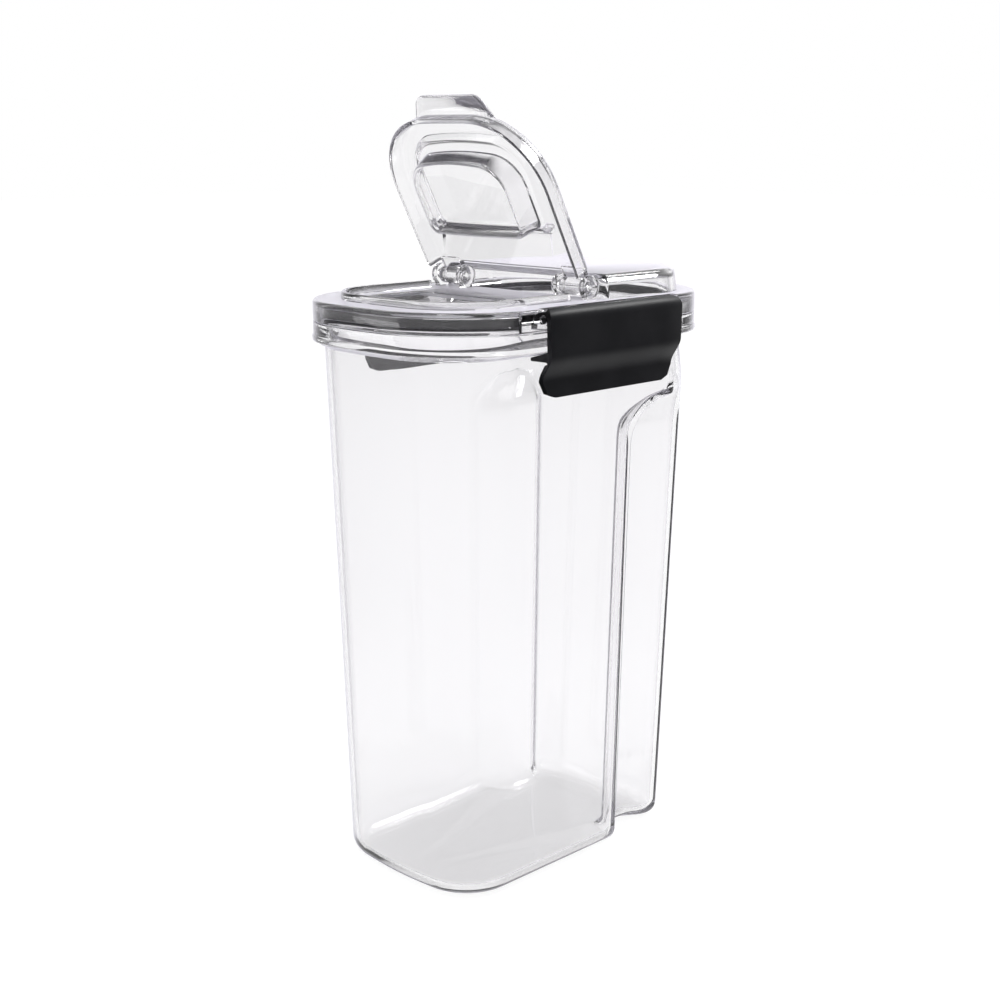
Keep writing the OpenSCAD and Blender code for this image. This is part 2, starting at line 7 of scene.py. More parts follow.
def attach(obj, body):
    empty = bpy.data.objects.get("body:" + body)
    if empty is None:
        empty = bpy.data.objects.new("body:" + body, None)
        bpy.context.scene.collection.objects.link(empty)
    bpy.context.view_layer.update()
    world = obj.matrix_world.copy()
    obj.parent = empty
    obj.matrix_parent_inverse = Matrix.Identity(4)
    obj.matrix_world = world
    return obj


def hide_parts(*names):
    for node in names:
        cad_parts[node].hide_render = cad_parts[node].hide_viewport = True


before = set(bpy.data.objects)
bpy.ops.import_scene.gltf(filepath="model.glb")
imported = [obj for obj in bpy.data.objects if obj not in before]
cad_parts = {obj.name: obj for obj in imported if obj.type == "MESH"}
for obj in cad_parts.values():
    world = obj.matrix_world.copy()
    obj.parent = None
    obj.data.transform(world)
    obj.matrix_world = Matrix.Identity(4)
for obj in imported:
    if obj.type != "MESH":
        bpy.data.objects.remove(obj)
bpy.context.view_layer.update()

mm = 0.001

# sizes in mm that several pieces share; they match the cad frame
lidSizes = dict(ledge=240.0, width=109.0, length=161.0, frontRound=42.0, rearRound=38.0,
                frontBow=4.5, rearBow=2.0, thick=2.0, skirt=8.4)
mouthSizes = dict(width=92.0, length=152.0, round=31.0, rim=233.4)
capAxis = Vector((0.0, 3.2, 244.9))
capTurn = math.radians(-62.0)
capRear = -2.7


class Wire:
    # a node socket that takes part in sums and products
    def __init__(self, kit, socket):
        self.kit = kit
        self.socket = socket

    def math(self, operation, a, b=0.0):
        return self.kit.add("ShaderNodeMath", dict(operation=operation), {0: a, 1: b})

    def __add__(self, other): return self.math("ADD", self, other)
    def __radd__(self, other): return self.math("ADD", other, self)
    def __sub__(self, other): return self.math("SUBTRACT", self, other)
    def __rsub__(self, other): return self.math("SUBTRACT", other, self)
    def __mul__(self, other): return self.math("MULTIPLY", self, other)
    def __rmul__(self, other): return self.math("MULTIPLY", other, self)


class ShaderKit:
    def __init__(self, tree):
        self.tree = tree
        tree.nodes.clear()

    def add(self, kind, settings=None, inputs=None, out=0):
        node = self.tree.nodes.new(kind)
        for key, value in (settings or {}).items():
            setattr(node, key, value)
        for key, value in (inputs or {}).items():
            if isinstance(value, Wire):
                self.tree.links.new(value.socket, node.inputs[key])
            else:
                node.inputs[key].default_value = value
        return Wire(self, node.outputs[out]) if len(node.outputs) else None

    def tint(self, mask, low, high):
        # mixes two colours by a mask
        return self.add("ShaderNodeMix", dict(data_type="RGBA"), {0: mask, 6: low, 7: high}, out=2)

    def span(self, value, low, high, toLow=0.0, toHigh=1.0):
        return self.add("ShaderNodeMapRange", dict(interpolation_type="SMOOTHSTEP"),
                        {"Value": value, "From Min": low, "From Max": high,
                         "To Min": toLow, "To Max": toHigh})


def newMaterial(name):
    material = bpy.data.materials.new(name)
    material.use_nodes = True
    return material, ShaderKit(material.node_tree)


def objectPlace(kit):
    return kit.add("ShaderNodeTexCoord", out=3)


# the edge colour and the diffuse layer's edge share paint grey shade on faces seen edge-on; the haze share is
# an even slight milkiness
clearLook = dict(colour=(0.988, 0.984, 0.992, 1), edgeShadeColour=(0.80, 0.785, 0.85, 1), edgeFrom=0.60,
                 edgeTo=0.97, rough=0.008, ripple=0.012, rippleScale=38.0, rippleDepth=0.0004, ior=1.45,
                 hazeAndEdgeShade=(0.82, 0.80, 0.88, 1), edgeShadeShare=0.75, haze=0.015)
capHaze = 0.045


def clearPlastic(name, look):
    # polished clear plastic: see-through with an even slight haze, and painted grey shade where a face is
    # seen edge-on, standing in for the dark lines that refraction would give
    material, kit = newMaterial(name)
    facing = kit.add("ShaderNodeLayerWeight", None, {"Blend": 0.5}, out=1)
    edge = kit.span(facing, look["edgeFrom"], look["edgeTo"])
    place = objectPlace(kit)
    flow = kit.add("ShaderNodeTexNoise", None, {"Vector": place, "Scale": look["rippleScale"], "Detail": 1.0})
    # painted shade: the colour turns grey where a face is seen edge-on
    colour = kit.tint(edge, look["colour"], look["edgeShadeColour"])
    rough = look["rough"] + flow * look["ripple"]
    bump = kit.add("ShaderNodeBump", None, {
        "Strength": 0.05, "Distance": look["rippleDepth"], "Height": flow})
    plastic = kit.add("ShaderNodeBsdfPrincipled", None, {
        "Base Color": colour, "Roughness": rough, "IOR": look["ior"], "Normal": bump,
        "Transmission Weight": 1.0})
    # a diffuse layer: an even slight haze, plus painted grey shade on faces seen edge-on
    hazeAndEdgeShade = kit.add("ShaderNodeBsdfDiffuse", None, {"Color": look["hazeAndEdgeShade"]})
    share = look["haze"] + edge * look["edgeShadeShare"]
    mixed = kit.add("ShaderNodeMixShader", None, {0: share, 1: plastic, 2: hazeAndEdgeShade})
    kit.add("ShaderNodeOutputMaterial", None, {"Surface": mixed})
    return material


latchLook = dict(colour=(0.0085, 0.0085, 0.0105, 1), worn=(0.013, 0.013, 0.0155, 1), rough=0.34,
                 roughSpread=0.12, patches=60.0, grain=2600.0, grainDepth=0.00012, gloss=0.22)


def satinBlack(name, look):
    # moulded black plastic with a fine satin grain, a little paler in patches
    material, kit = newMaterial(name)
    place = objectPlace(kit)
    patches = kit.add("ShaderNodeTexNoise", None, {"Vector": place, "Scale": look["patches"], "Detail": 3.0})
    grain = kit.add("ShaderNodeTexNoise", None, {"Vector": place, "Scale": look["grain"], "Detail": 2.0})
    colour = kit.tint(kit.span(patches, 0.3, 0.75), look["colour"], look["worn"])
    rough = look["rough"] + grain * look["roughSpread"]
    bump = kit.add("ShaderNodeBump", None, {
        "Strength": 0.22, "Distance": look["grainDepth"], "Height": grain})
    plastic = kit.add("ShaderNodeBsdfPrincipled", None, {
        "Base Color": colour, "Roughness": rough, "Normal": bump, "IOR": 1.5,
        "Specular IOR Level": look["gloss"]})
    kit.add("ShaderNodeOutputMaterial", None, {"Surface": plastic})
    return material


rubberLook = dict(colour=(0.004, 0.004, 0.005, 1), dusty=(0.009, 0.009, 0.010, 1), rough=0.42,
                  roughSpread=0.15, dust=140.0, dustDepth=0.0002, gloss=0.2)


def siliconeRubber(name, look):
    # black rubber, a little paler where dust clings to it
    material, kit = newMaterial(name)
    place = objectPlace(kit)
    dust = kit.add("ShaderNodeTexNoise", None, {"Vector": place, "Scale": look["dust"], "Detail": 4.0})
    colour = kit.tint(kit.span(dust, 0.45, 0.8), look["colour"], look["dusty"])
    bump = kit.add("ShaderNodeBump", None, {"Strength": 0.1, "Distance": look["dustDepth"], "Height": dust})
    rubber = kit.add("ShaderNodeBsdfPrincipled", None, {
        "Base Color": colour, "Roughness": look["rough"] + dust * look["roughSpread"], "Normal": bump,
        "IOR": 1.42, "Specular IOR Level": look["gloss"]})
    kit.add("ShaderNodeOutputMaterial", None, {"Surface": rubber})
    return material


bodyPlastic = clearPlastic("clearBody", clearLook)
lidPlastic = clearPlastic("clearLid", clearLook)
capPlastic = clearPlastic("clearCap", dict(clearLook, haze=capHaze))
latchPlastic = satinBlack("satinBlackLatch", latchLook)
gasketRubber = siliconeRubber("gasketRubber", rubberLook)
print("materials ready")


def halfPlan(a, yf, yb, rf, rb, sf, sb, ys=(), corner=14, end=7):
    # right half of a rounded plan, from its front middle round to its rear middle
    bigF = (a * a + sf * sf) / (2 * sf)
    bigB = (a * a + sb * sb) / (2 * sb)
    cf, cb = yf + bigF, yb - bigB
    yi = cf - math.sqrt((bigF - rf) ** 2 - (a - rf) ** 2)
    yj = cb + math.sqrt((bigB - rb) ** 2 - (a - rb) ** 2)
    tf, tb = math.atan2(yi - cf, a - rf), math.atan2(yj - cb, a - rb)
    half = []
    for i in range(end):
        t = -math.pi / 2 + (tf + math.pi / 2) * i / end
        half.append((bigF * math.cos(t), cf + bigF * math.sin(t)))
    for i in range(corner + 1):
        t = tf * (1 - i / corner)
        half.append((a - rf + rf * math.cos(t), yi + rf * math.sin(t)))
    for i, y in enumerate(ys):
        half.append((a, min(max(y, yi + 0.1 * (i + 1)), yj - 0.1 * (len(ys) - i))))
    for i in range(corner + 1):
        t = tb * i / corner
        half.append((a - rb + rb * math.cos(t), yj + rb * math.sin(t)))
    for i in range(1, end):
        t = tb + (math.pi / 2 - tb) * i / end
        half.append((bigB * math.cos(t), cb + bigB * math.sin(t)))
    half.append((0.0, yb))
    return half


def whole(half):
    return half + [(-x, y) for x, y in half[-2:0:-1]]


def lidPlan(d, ys=()):
    # the lid's and the collar's outline, d inside, with side points at ys
    s = lidSizes
    return whole(halfPlan(s["width"] / 2 - d, -s["length"] / 2 + d, s["length"] / 2 - d,
                          s["frontRound"] - d, s["rearRound"] - d, s["frontBow"], s["rearBow"], ys))


def mouthPlan(d):
    # the outline of the container's mouth, d inside
    s = mouthSizes
    return whole(halfPlan(s["width"] / 2 - d, -s["length"] / 2 + d, s["length"] / 2 - d,
                          s["round"] - d, s["round"] - d, lidSizes["frontBow"], lidSizes["rearBow"]))


def meshObject(name, bm, material, sharp=38):
    for v in bm.verts:
        v.co *= mm
    bmesh.ops.recalc_face_normals(bm, faces=bm.faces)
    mesh = bpy.data.meshes.new(name)
    bm.to_mesh(mesh)
    bm.free()
    mesh.materials.append(material)
    obj = bpy.data.objects.new(name, mesh)
    bpy.context.scene.collection.objects.link(obj)
    smoothFaces(obj, sharp)
    return obj


def smoothFaces(obj, sharp):
    obj.data.shade_smooth()
    obj.data.set_sharp_from_angle(angle=math.radians(sharp))


def skin(name, loops, material, closed=False, sharp=38):
    # a solid through loops of equally many points, given as (x, y, z) in mm; closed joins last to first
    bm = bmesh.new()
    rows = [[bm.verts.new(p) for p in loop] for loop in loops]
    count = len(rows[0])
    pairs = list(zip(rows, rows[1:])) + ([(rows[-1], rows[0])] if closed else [])
    for low, high in pairs:
        for i in range(count):
            j = (i + 1) % count
            bm.faces.new((low[i], low[j], high[j], high[i]))
    if not closed:
        bm.faces.new(rows[0][::-1])
        bm.faces.new(rows[-1])
    return meshObject(name, bm, material, sharp)


def level(plan, z):
    return [(x, y, z) for x, y in plan]


def disc(name, centre, radius, length, axis, material, edge=0.3, steps=40):
    # a round pin or ear with softly rounded ends, along X or Y, starting at centre
    stations = [(0.0, radius - edge), (edge * 0.3, radius - edge * 0.3), (edge, radius),
                (length - edge, radius), (length - edge * 0.3, radius - edge * 0.3), (length, radius - edge)]
    loops = []
    for along, r in stations:
        loop = []
        for i in range(steps):
            t = 2 * math.pi * i / steps
            u, v = r * math.cos(t), r * math.sin(t)
            p = (along, u, v) if axis == "X" else (u, along, v)
            loop.append(tuple(c + q for c, q in zip(centre, p)))
        loops.append(loop)
    return skin(name, loops, material)


def block(name, low, high, material):
    bm = bmesh.new()
    bmesh.ops.create_cube(bm, size=1.0)
    for v in bm.verts:
        v.co = Vector([(l + h) / 2 + c * (h - l) for l, h, c in zip(low, high, v.co)])
    return meshObject(name, bm, material)


def prism(name, section, y0, y1, material):
    # a section in X and Z run along Y
    return skin(name, [[(x, y, z) for x, z in section] for y in (y0, y1)], material)


def settle(obj):
    # makes the modifiers' result the object's own mesh
    graph = bpy.context.evaluated_depsgraph_get()
    mesh = bpy.data.meshes.new_from_object(obj.evaluated_get(graph))
    obj.modifiers.clear()
    obj.data = mesh


def combine(base, parts, operation="UNION"):
    # joins or cuts solids for good
    for part in parts:
        change = base.modifiers.new("change", "BOOLEAN")
        change.operation = operation
        change.object = part
        change.solver = "MANIFOLD"
        settle(base)
        bpy.data.objects.remove(part)
    return base


def soften(obj, width, segments, angle, sharp):
    # small rounds on the moulded edges
    change = obj.modifiers.new("rounds", "BEVEL")
    change.width = width * mm
    change.segments = segments
    change.limit_method = "ANGLE"
    change.angle_limit = math.radians(angle)
    change.use_clamp_overlap = True
    settle(obj)
    smoothFaces(obj, sharp)


def flipAway(obj):
    # turns a solid into its mirror image
    obj.data.transform(Matrix.Scale(-1, 4, Vector((1, 0, 0))))
    obj.data.flip_normals()
    return obj


def pair(make):
    # a helper solid and its mirror image
    return [make(), flipAway(make())]


def flip(obj, name):
    # the same piece on the other side
    twin = obj.copy()
    twin.data = obj.data.copy()
    twin.name = name
    bpy.context.scene.collection.objects.link(twin)
    return flipAway(twin)


bodySizes = dict(baseWidth=85.0, baseLength=133.0, baseRound=24.0, foot=7.0, wall=2.0, floor=2.6,
                 collarLow=223.6, collarTop=231.3, lip=2.1, lipOut=0.4, neck=221.2, gutter=225.2,
                 scoopY=28.0, scoopDepth=11.5, scoopTop=197.0, scoopRound=19.0, scoopStep=8.0,
                 scoopFade=20.0, scoopFrom=0.45, scoopEnd=50.0, scoopOut=18.0,
                 rearTop=24.0, rearBase=21.0, shoulder=19.0)


def smooth(t):
    # a soft step from 0 to 1
    u = min(max(t, 0.0), 1.0)
    return u * u * (3 - 2 * u)


def atHeight(base, top, z):
    # a size at height z of the tapered body
    return base + (top - base) * min(max(z / bodySizes["neck"], 0.0), 1.0)


def ridgeAt(z, s):
    # where the scoop's front ridge lies at height z, s inside the outer face
    b = bodySizes
    k = atHeight(b["baseLength"] / mouthSizes["length"], 1.0, z)
    up = min(max((z - s - (b["scoopTop"] - b["scoopRound"])) / b["scoopRound"], 0.0), 1.0)
    return k * b["scoopY"] - s + 1.3 * b["scoopRound"] * (1 - math.sqrt(1 - up * up))


def scoopIn(y, z, s):
    # how far the scoop draws the wall in
    b = bodySizes
    k = atHeight(b["baseLength"] / mouthSizes["length"], 1.0, z)
    fade = 1 - smooth((z - s - b["scoopTop"] + 14) / b["scoopFade"])
    return (b["scoopDepth"] * fade * smooth((y - ridgeAt(z, s)) / b["scoopStep"])
            * (1 - smooth((y - b["scoopEnd"] * k) / (b["scoopOut"] * k))))


def sidePoints(r, k):
    # places along the side that hold points, close together at the ridge r
    b = bodySizes
    far = max(44 * k - r - b["scoopStep"], 1.0)
    return ([r - 14, r - 8, r - 3] + [r + b["scoopStep"] * i / 10 for i in range(11)]
            + [r + b["scoopStep"] + far * i / 6 for i in range(1, 7)])


def rearRadius(z):
    # the rear corners are tighter than the rim's and open out to them over the shoulder
    b = bodySizes
    up = min(max((z - b["neck"] + b["shoulder"]) / b["shoulder"], 0.0), 1.0)
    return atHeight(b["rearBase"], b["rearTop"], z) + (mouthSizes["round"] - b["rearTop"]) * up


def bodyLoop(z, s, draw=0.0):
    # the body's outline at height z, s inside the outer face
    b = bodySizes
    k = atHeight(b["baseLength"] / mouthSizes["length"], 1.0, z)
    a = atHeight(b["baseWidth"], mouthSizes["width"], z) / 2 - s - draw
    h = atHeight(b["baseLength"], mouthSizes["length"], z) / 2 - s - draw
    c = atHeight(b["baseRound"], mouthSizes["round"], z) - s - draw
    half = halfPlan(a, -h, h, c, rearRadius(z) - s - draw, lidSizes["frontBow"], lidSizes["rearBow"],
                    sidePoints(ridgeAt(z, s), k))
    near = b["scoopFrom"]
    bent = [(x - scoopIn(y, z, s) * smooth((x / a - near) / 0.3) if x > a * near else x, y) for x, y in half]
    return level(whole(bent), z)


def collarLoop(d, z):
    return level(lidPlan(d, sidePoints(bodySizes["scoopY"], 1.0)), z)


def makeBody():
    b = bodySizes
    rim = mouthSizes["rim"]
    arcs = [math.radians(12 * i) for i in range(8)]
    outer = [bodyLoop(b["foot"] * (1 - math.cos(t)), 0, b["foot"] * (1 - math.sin(t))) for t in arcs]
    straight = b["scoopTop"] - b["scoopRound"]
    levels = [b["foot"] + (straight - b["foot"]) * i / 14 for i in range(1, 15)]
    levels += [straight + b["scoopRound"] * i / 12 for i in range(1, 13)]
    levels += [b["scoopTop"] + up for up in (1.5, 3.5, 8)]
    loops = outer + [bodyLoop(z, 0) for z in levels]
    loops += [bodyLoop(b["neck"] - 1.2, 0), bodyLoop(b["neck"], 0)]
    out, low, high = -b["lipOut"], b["collarLow"], b["collarTop"]
    collar = [(out + 0.7, low - 0.15), (out + 0.15, low + 0.1), (out, low + 0.5), (out, low + b["lip"] - 0.3),
              (out + 0.12, low + b["lip"]), (0.0, low + b["lip"] + 0.25), (0.0, high - 0.5),
              (0.15, high - 0.12), (0.5, high), (1.4, high), (1.7, high - 0.12), (1.8, high - 0.45),
              (1.8, b["gutter"])]
    loops += [collarLoop(d, z) for d, z in collar]
    edge = [(b["gutter"], 0), (rim - 0.6, 0), (rim - 0.15, 0.18), (rim, 0.6), (rim, 1.4), (rim - 0.15, 1.82),
            (rim - 0.6, 2.0)]
    loops += [bodyLoop(z, s) for z, s in edge]
    w = b["wall"]
    loops += [bodyLoop(b["neck"], w)]
    loops += [bodyLoop(z + (w if z > straight else 0), w) for z in levels[-2::-1]]
    inner = b["foot"] - 1
    loops += [bodyLoop(b["floor"] + inner * (1 - math.cos(t)), w, inner * (1 - math.sin(t)))
              for t in arcs[::-1]]
    return skin("containerBodyClear", loops, bodyPlastic, sharp=50)


body = makeBody()
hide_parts("container_body")
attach(body, "container")
print("container body", len(body.data.polygons), "faces")


lidShape = dict(edgeRound=1.5, channel=1.3, play=0.15, gasketWidth=3.4, plugDepth=11.0,
                beadIn=2.5, beadWidth=2.4, beadHeight=3.1, beadGap=1.6,
                plateauIn=7.4, plateauFront=8.8, plateauHeight=9.8, plateauWall=2.0,
                pourWidth=61.0, pourRear=21.7, pourFront=57.2, pourRound=14.0, sleeve=5.0,
                earRadius=4.7, earThick=3.0, earX=26.5, outerEarX=41.5, pinBore=2.05, latchBore=1.25)
gasketSizes = dict(height=4.0, round=0.6, clear=0.3)
capSizes = dict(side=10.3, front=8.5, round=31.5, bow=1.2, gap=0.4, height=8.2, thick=1.7,
                tabWidth=44.0, tabLength=7.0, tabThick=2.0, tabDrop=0.4, tabSlant=26.0, tabRound=6.0,
                panelDrop=2.7, panelSide=3.0, panelFront=5.4, panelRear=2.5,
                plugGap=0.5, plugDeep=7.9, plugThick=1.5, plugTaper=3.2, plugLead=0.6,
                armWidth=11.4, armRadius=3.6, pin=2.0, armX=29.8, pinReach=1.8)
latchSizes = dict(length=77.5, middle=5.3, thick=2.3, roll=4.5, axisX=53.0, axisZ=235.5, outX=57.5, inX=55.2,
                  low=205.4, step=4.8, bendTop=222.6, bendLow=211.6, corner=6.5, topCorner=3.2, edge=0.45,
                  pin=1.2, pinLength=6.4, pinIn=0.6, web=2.0, webIn=6.9, boss=1.75,
                  lug=2.05, lugIn=46.4, lugLow=231.7, lugTop=239.0, lugWidth=6.0, lugArm=1.6,
                  roomLow=230.2, roomOut=20.0, groove=12.0,
                  hookGap=0.3, hookTip=1.4, hookRoot=3.6, hookRise=2.4)


def capPlan(d, rear=None):
    # the cap's plan, with a straight rear edge if rear is given
    s, c = lidSizes, capSizes
    front = -s["length"] / 2 + c["front"]
    a = s["width"] / 2 - c["side"] - d
    if rear is None:
        rear = s["length"] / 2 - lidShape["plateauIn"]
        return whole(halfPlan(a, front + d, rear, c["round"] - d, s["rearRound"] - lidShape["plateauIn"],
                              c["bow"], s["rearBow"]))
    return whole(halfPlan(a, front + d, rear - d, c["round"] - d, max(2.6 - d, 0.6), c["bow"], 0.2))


def pourPlan(d):
    # the pour opening's outline, d inside
    p = lidShape
    return whole(halfPlan(p["pourWidth"] / 2 - d, -p["pourFront"] + d, -p["pourRear"] - d,
                          p["pourRound"] - d, 4.0, 3.0, 0.3))


def plateauPlan(d, inset):
    # the rear plateau's outline; inset leans the sides in more than the front
    s, p = lidSizes, lidShape
    a = s["width"] / 2 - p["plateauIn"] - d - inset
    rear = s["length"] / 2 - p["plateauIn"] - d - inset
    return whole(halfPlan(a, p["plateauFront"] + d + inset * 0.1, rear, 2.5 - d * 0.6,
                          s["rearRound"] - p["plateauIn"] - d - inset, 0.2, s["rearBow"]))


def plateauLoops(d, drop):
    # the plateau, or with d and drop the hollow under it
    top = lidSizes["ledge"] + lidShape["plateauHeight"]
    base = lidSizes["ledge"] - 1.0
    shape = [(0.0, base), (0.0, base + 1.0), (0.3, base + 1.7), (1.15, top - 3.0), (1.35, top - 2.1),
             (1.75, top - 1.25), (2.35, top - 0.6), (3.1, top - 0.18), (4.0, top)]
    if drop:
        shape[0] = (0.0, base - 3.0)
    return [level(plateauPlan(d, inset), z - (drop if z > base else 0.0)) for inset, z in shape]


def beadSolid():
    # the bead is an open run round the front, with a rounded top and flat ends
    p = lidShape
    z0, z1 = lidSizes["ledge"] - 1.0, lidSizes["ledge"] + p["beadHeight"]
    w = p["beadWidth"]
    section = [(0.0, z0), (0.15, z1 - 1.0), (0.5, z1 - 0.3), (w / 2, z1), (w - 0.5, z1 - 0.3),
               (w - 0.15, z1 - 1.0), (w, z0)]
    rearY = capRear - capSizes["thick"] - p["beadGap"]
    rows = []
    for inset, z in section:
        pts = [q for q in capPlan(p["beadIn"] + inset) if q[1] < rearY]
        pts = [q for q in pts if q[0] < 0] + [q for q in pts if q[0] >= 0]
        x = lidSizes["width"] / 2 - capSizes["side"] - p["beadIn"] - inset
        rows.append([(-x, rearY, z)] + [(px, py, z) for px, py in pts] + [(x, rearY, z)])
    count = min(len(r) for r in rows)
    rows = [[r[round(i * (len(r) - 1) / (count - 1))] for i in range(count)] for r in rows]
    loops = [[row[i] for row in rows] for i in range(count)]
    return skin("bead", loops, lidPlastic)


def rollRoom(name, r, lift, steps, y0, y1):
    # a cutter round the right latch's axis, open outwards and below; lift raises its outer edge
    s = latchSizes
    x, z, out, low = s["axisX"], s["axisZ"], s["axisX"] + s["roomOut"], s["roomLow"]
    turns = [math.pi / 2 * i / steps for i in range(1, steps + 1)]
    section = [(out, z + r + lift), (x + 0.01, z + r)]
    section += [(x - r * math.sin(t), z + r * math.cos(t)) for t in turns]
    section += [(x - r, low), (out, low)]
    return prism(name, section, y0, y1, lidPlastic)


def latchPocket():
    # room for the moving roll of the right latch
    s = latchSizes
    return rollRoom("pocket", s["roll"] + 0.5, 0.6, 16, s["middle"] - s["length"] / 2 - 0.5,
                    s["middle"] + s["length"] / 2 + 0.5)


def latchGroove():
    # the groove that carries the roll's line on in front of the latch
    s = latchSizes
    y1 = s["middle"] - s["length"] / 2
    return rollRoom("groove", s["roll"] - 1.0, 0.0, 12, y1 - s["groove"], y1)


def latchLug(y0, y1):
    # the clear boss that carries a latch pin, on an arm low enough for the roll to turn past it
    s = latchSizes
    x, z, r = s["axisX"], s["axisZ"], s["lug"]
    start, end = math.radians(-67.0), math.radians(231.3)
    turns = [start + (end - start) * i / 24 for i in range(25)]
    section = [(s["lugIn"], s["lugLow"]), (x + 0.8, s["lugLow"])]
    section += [(x + r * math.cos(t), z + r * math.sin(t)) for t in turns]
    section += [(x - 5.0, z - s["lugArm"]), (x - 5.0, s["lugTop"]), (s["lugIn"], s["lugTop"])]
    return prism("lug", section, y0, y1, lidPlastic)


def capEar(x):
    # an ear of the lid that holds the cap's pin, on a foot in the ledge
    e = lidShape
    ear = disc("ear", (x, capAxis.y, capAxis.z), e["earRadius"], e["earThick"], "X", lidPlastic, edge=0.45,
               steps=48)
    half = e["earRadius"] * 0.55
    foot = block("foot", (x + 0.05, capAxis.y - half, lidSizes["ledge"] - 1.0),
                 (x + e["earThick"] - 0.05, capAxis.y + half, capAxis.z - 2.4), lidPlastic)
    return combine(ear, [foot])


def makeLid():
    s, p = lidSizes, lidShape
    top, low = s["ledge"], s["ledge"] - s["skirt"]
    under, r = top - s["thick"], p["edgeRound"]
    loops = [level(lidPlan(20.0), top), level(lidPlan(r + 0.4), top)]
    loops += [level(lidPlan(r * (1 - math.sin(t))), top - r * (1 - math.cos(t)))
              for t in [math.radians(15 * i) for i in range(7)]]
    skirt = [(0.0, low + 0.5), (0.14, low + 0.14), (0.5, low), (1.5, low), (1.86, low + 0.14),
             (2.0, low + 0.5), (2.0, under - 0.6), (2.2, under - 0.15), (2.6, under)]
    loops += [level(lidPlan(d), z) for d, z in skirt]
    out, inn = p["play"] + p["channel"], p["gasketWidth"] + p["play"]
    tip = mouthSizes["rim"] + 0.8
    plug = top - p["plugDepth"]
    far = inn + p["channel"]
    channel = [(-out, under), (-out, tip + 0.3), (-out + 0.3, tip), (-p["play"] - 0.3, tip),
               (-p["play"], tip + 0.3), (-p["play"], under), (inn, under), (inn, plug + 0.4),
               (inn + 0.4, plug), (far - 0.4, plug), (far, plug + 0.4), (far, under - 0.8),
               (far + 0.8, under), (inn + 10.0, under)]
    loops += [level(mouthPlan(d), z) for d, z in channel]
    lid = skin("lidClear", loops, lidPlastic)
    combine(lid, pair(latchPocket) + pair(latchGroove), "DIFFERENCE")
    parts = [skin("plateau", plateauLoops(0.0, 0.0), lidPlastic), beadSolid()]
    sleeve = [level(pourPlan(-2.0), under - p["sleeve"]), level(pourPlan(-2.0), under + 0.5)]
    parts.append(skin("sleeve", sleeve, lidPlastic))
    c = latchSizes
    y0, y1 = c["middle"] - c["length"] / 2, c["middle"] + c["length"] / 2
    near, far = c["pinIn"], c["pinIn"] + c["lugWidth"]
    for a, b in ((y0 + near, y0 + far), (y1 - far, y1 - near)):
        parts += pair(lambda: latchLug(a, b))
    for x in (p["earX"], p["outerEarX"]):
        parts += pair(lambda: capEar(x))
    combine(lid, parts)
    cuts = [skin("hollow", plateauLoops(p["plateauWall"], p["plateauWall"]), lidPlastic)]
    opening = [(0.0, 200.0), (0.0, top - 0.9), (-0.25, top - 0.3), (-0.9, top + 0.01), (-0.9, 290.0)]
    cuts.append(skin("opening", [level(pourPlan(d), z) for d, z in opening], lidPlastic))
    reach = p["outerEarX"] + p["earThick"] + 2 - p["earX"]
    cuts += pair(lambda: disc("bore", (p["earX"] - 1, capAxis.y, capAxis.z), p["pinBore"], reach, "X",
                              lidPlastic, edge=0.01))
    cuts += pair(lambda: disc("hole", (c["axisX"], y0 - 1, c["axisZ"]), p["latchBore"], c["length"] + 2, "Y",
                              lidPlastic, edge=0.01, steps=24))
    combine(lid, cuts, "DIFFERENCE")
    smoothFaces(lid, 38)
    return lid


lid = makeLid()
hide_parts("lid")
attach(lid, "lid")
print("lid", len(lid.data.polygons), "faces")


def makeGasket():
    low = mouthSizes["rim"] + gasketSizes["clear"]
    w, h, r = lidShape["gasketWidth"], gasketSizes["height"], gasketSizes["round"]
    k = r * 0.3
    section = [(0.0, r), (0.0, h - r), (k, h - k), (r, h), (w - r, h), (w - k, h - k),
               (w, h - r), (w, r), (w - k, k), (w - r, 0.0), (r, 0.0), (k, k)]
    return skin("gasketBand", [level(mouthPlan(d), low + z) for d, z in section], gasketRubber, closed=True)


gasket = makeGasket()
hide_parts("lid_gasket")
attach(gasket, "lid")
print("gasket", len(gasket.data.polygons), "faces")


def panelPlan(d):
    # the cap's sunk panel, a margin round the pour opening
    p, c = lidShape, capSizes
    return whole(halfPlan(p["pourWidth"] / 2 - c["plugGap"] + c["panelSide"] - d,
                          -p["pourFront"] + c["plugGap"] - c["panelFront"] + d,
                          -p["pourRear"] - c["plugGap"] + c["panelRear"] - d,
                          p["pourRound"] + c["panelSide"] - d, 4.0, 3.0, 0.3))


def plugPlan(d, k):
    # the plug's plan, drawn in by d, at the share k of the way to its tip
    p, c = lidShape, capSizes
    return whole(halfPlan(p["pourWidth"] / 2 - c["plugGap"] - d - c["plugTaper"] * k,
                          -p["pourFront"] + c["plugGap"] + d + c["plugLead"] * k,
                          -p["pourRear"] - c["plugGap"] - d, p["pourRound"] - d - k, 4.0, 3.0, 0.3))


